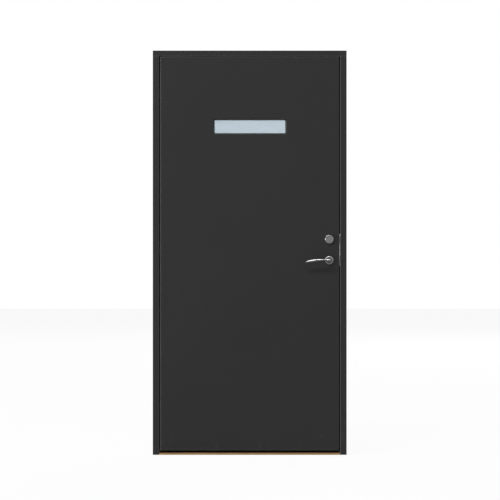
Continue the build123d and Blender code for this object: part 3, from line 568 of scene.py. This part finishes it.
# Strike: pressed stainless steel, brushed along its length, with a lip that guides the latch. Two
# screws hold it and the plastic box behind it in the jamb.
dress(drawn_metal("brushed steel", (0.21, 0.21, 0.212, 1.0), (1500.0, 1500.0, 40.0), 0.48, 0.35),
      "strike_plate", "faceplate")
set_screws("strike_screws", "frame", "-x", 4.5, 2.3, 24.0, 1.8)

# Leaf: two painted boards glued on a timber frame with insulating foam between, all one grey.
# Its arrises are lighter too, partly rubbed wear and partly painted highlight.
dress(finish_of("leaf paint", coat,
                {"Colour": DARK_GREY, "Shine": 0.48, "Dust": 0.3, "Scuffs": 0.6, "Arris Wear And Highlight": 1.0},
                0.10, 0.0002, Specular_IOR_Level=MATT),
      "outer_skin", "inner_skin", "hinge_stile", "lock_stile", "top_rail", "bottom_rail")
dress(finish_of("insulating foam", coat,
                {"Colour": (0.66, 0.60, 0.45, 1.0), "Peel Scale": 420.0, "Shine": 0.85, "Dust": 0.0},
                0.6, 0.001), "core")
dress(rubber, "bottom_seal")

# Window: a moulded frame and a screwed bead hold two panes on rubber, in a plastic lining. The outer
# pane is etched and reads as a pale blue grey; the inner one is clear.
dress(finish_of("moulding paint", coat, {"Colour": DARK_GREY, "Shine": 0.44, "Dust": 0.3},
                0.10, 0.0002, Specular_IOR_Level=MATT), "glazing_frame", "glazing_bead")
dress(rubber, "glazing_seals")
set_screws("bead_screws", "leaf", "+y", 1.9, 1.0, 8.0, 0.8)


def pane(name, colour, rough, through, grain):
    made = bpy.data.materials.new(name)
    made.use_nodes = True
    tree = made.node_tree
    shader = tree.nodes["Principled BSDF"]
    shader.inputs["Transmission Weight"].default_value = through
    shader.inputs["IOR"].default_value = 1.5
    fine = noise(tree, tree.nodes.new("ShaderNodeTexCoord").outputs["Object"], grain, 3.0)
    feed(tree, shader.inputs["Roughness"], spread(tree, fine, 0.0, 1.0, rough * 0.85, rough * 1.15))
    dull = tuple(part * 0.97 for part in colour[:3]) + (1.0,)
    feed(tree, shader.inputs["Base Color"], blend_colour(tree, fine, dull, colour))
    raised = tree.nodes.new("ShaderNodeBump")
    raised.inputs["Strength"].default_value, raised.inputs["Distance"].default_value = 0.05, 0.0001
    feed(tree, raised.inputs["Height"], fine)
    feed(tree, shader.inputs["Normal"], raised.outputs["Normal"])
    return made


dress(pane("etched glass", (0.555, 0.632, 0.708, 1.0), 0.20, 0.94, 1800.0), "pane_outer")
dress(pane("clear glass", (0.95, 0.98, 0.97, 1.0), 0.03, 1.0, 40.0), "pane_inner")

# Lock: a pressed steel case and cover in the leaf's edge behind a brushed faceplate, with a sprung
# latch and a dead bolt of ground steel.
case_steel = drawn_metal("pressed steel", (0.36, 0.36, 0.37, 1.0), (500.0, 500.0, 500.0), 0.42, 0.3, 0.1)
dress(case_steel, "lock_case", "lock_cover", "spindle", "follower")
dress(drawn_metal("ground steel", (0.10, 0.10, 0.101, 1.0), (300.0, 300.0, 300.0), 0.34, 0.3),
      "latch_bolt", "dead_bolt")
set_screws("faceplate_screws", "leaf", "+x", 4.0, 2.0, 26.0, 1.5)

# Roses and levers: satin chromed. The roses are turned and show fine rings; the levers are cast and
# brushed along the grip. A grub screw under each neck holds the lever on its spindle.
turned, given, put = effect_group("turned metal", {
    "Colour": (0.5, 0.5, 0.5, 1.0), "Axis": (0.406, 0.0, 0.994), "Line Scale": 2600.0, "Shine": 0.3,
    "Contrast": 0.3, "Underside Shade": 0.0})
apart = turned.nodes.new("ShaderNodeVectorMath")
apart.operation = "SUBTRACT"
turned.links.new(given["Vector"], apart.inputs[0])
turned.links.new(given["Axis"], apart.inputs[1])
radius = turned.nodes.new("ShaderNodeVectorMath")
radius.operation = "LENGTH"
turned.links.new(times(turned, apart.outputs[0], (1.0, 0.0, 1.0)), radius.inputs[0])
deep = parts_of(turned, given["Vector"])["Y"]
tool_path = turned.nodes.new("ShaderNodeCombineXYZ")
for axis, way in (("X", radius.outputs["Value"]), ("Y", deep)):
    feed(turned, tool_path.inputs[axis], maths(turned, "MULTIPLY", way, given["Line Scale"]))
rings_cut = noise(turned, tool_path.outputs[0], 1.0, 3.0, 0.6)
bare_metal(turned, given, put, rings_cut, noise(turned, given["Vector"], 120.0, 4.0))


def turned_metal(name, colour, axis, shine, contrast, underside_shade):
    values = {"Colour": colour, "Axis": axis, "Shine": shine, "Contrast": contrast, "Underside Shade": underside_shade}
    return finish_of(name, turned, values, 0.05, 0.0001, Metallic=1.0)


CHROME = (0.27, 0.27, 0.272, 1.0)
AXIS_X, HANDLE_Z, CYLINDER_Z, PLUG_Z = 0.406, 0.994, 1.101, 1.0925
# Levers and roses, and less so the ring and plug, are darkened as painted shade where they face down.
dress(drawn_metal("brushed chrome", CHROME, (60.0, 900.0, 900.0), 0.16, 0.15, 0.03, 0.9),
      "lever_outer", "lever_inner")
dress(turned_metal("turned chrome", CHROME, (AXIS_X, 0.0, HANDLE_Z), 0.20, 0.35, 0.75),
      "rose_outer", "rose_inner")
set_screws("rose_screws", "leaf", "+y", 3.6, 2.0, 73.0, 1.4)
set_screws("set_screws", "lever", "+x", 2.0, 1.9, 4.6, 1.8)

# Cylinder: a turned steel ring round an oval housing, with a nickelled key plug outside and a thumb
# turn inside.
dress(turned_metal("turned steel", (0.28, 0.28, 0.282, 1.0), (AXIS_X, 0.0, CYLINDER_Z), 0.21, 0.4, 0.5),
      "ring_outer", "ring_inner")
dress(drawn_metal("satin steel", (0.20, 0.20, 0.20, 1.0), (60.0, 60.0, 1800.0), 0.34, 0.3),
      "cylinder_outer", "cylinder_inner", "thumb_turn")
dress(turned_metal("nickelled brass", (0.26, 0.255, 0.24, 1.0), (AXIS_X, 0.0, PLUG_Z), 0.3, 0.35, 0.2),
      "cylinder_plug")

# Hinges: cast zinc housings let into the stile and the jamb, with crossed steel arms on hard pins.
dress(drawn_metal("cast zinc", (0.38, 0.39, 0.41, 1.0), (220.0, 220.0, 220.0), 0.42, 0.3, 0.15),
      "hinge_housings_jamb", "hinge_housings_leaf", "hinge_arms_outer", "hinge_arms_middle")
dress(case_steel, "hinge_pins_jamb", "hinge_pins_leaf", "hinge_cross_pins")
set_screws("hinge_screws_jamb", "frame", "+x", 4.2, 2.1, 20.0, 1.5)
set_screws("hinge_screws_leaf", "leaf", "-x", 4.2, 2.1, 20.0, 1.5)
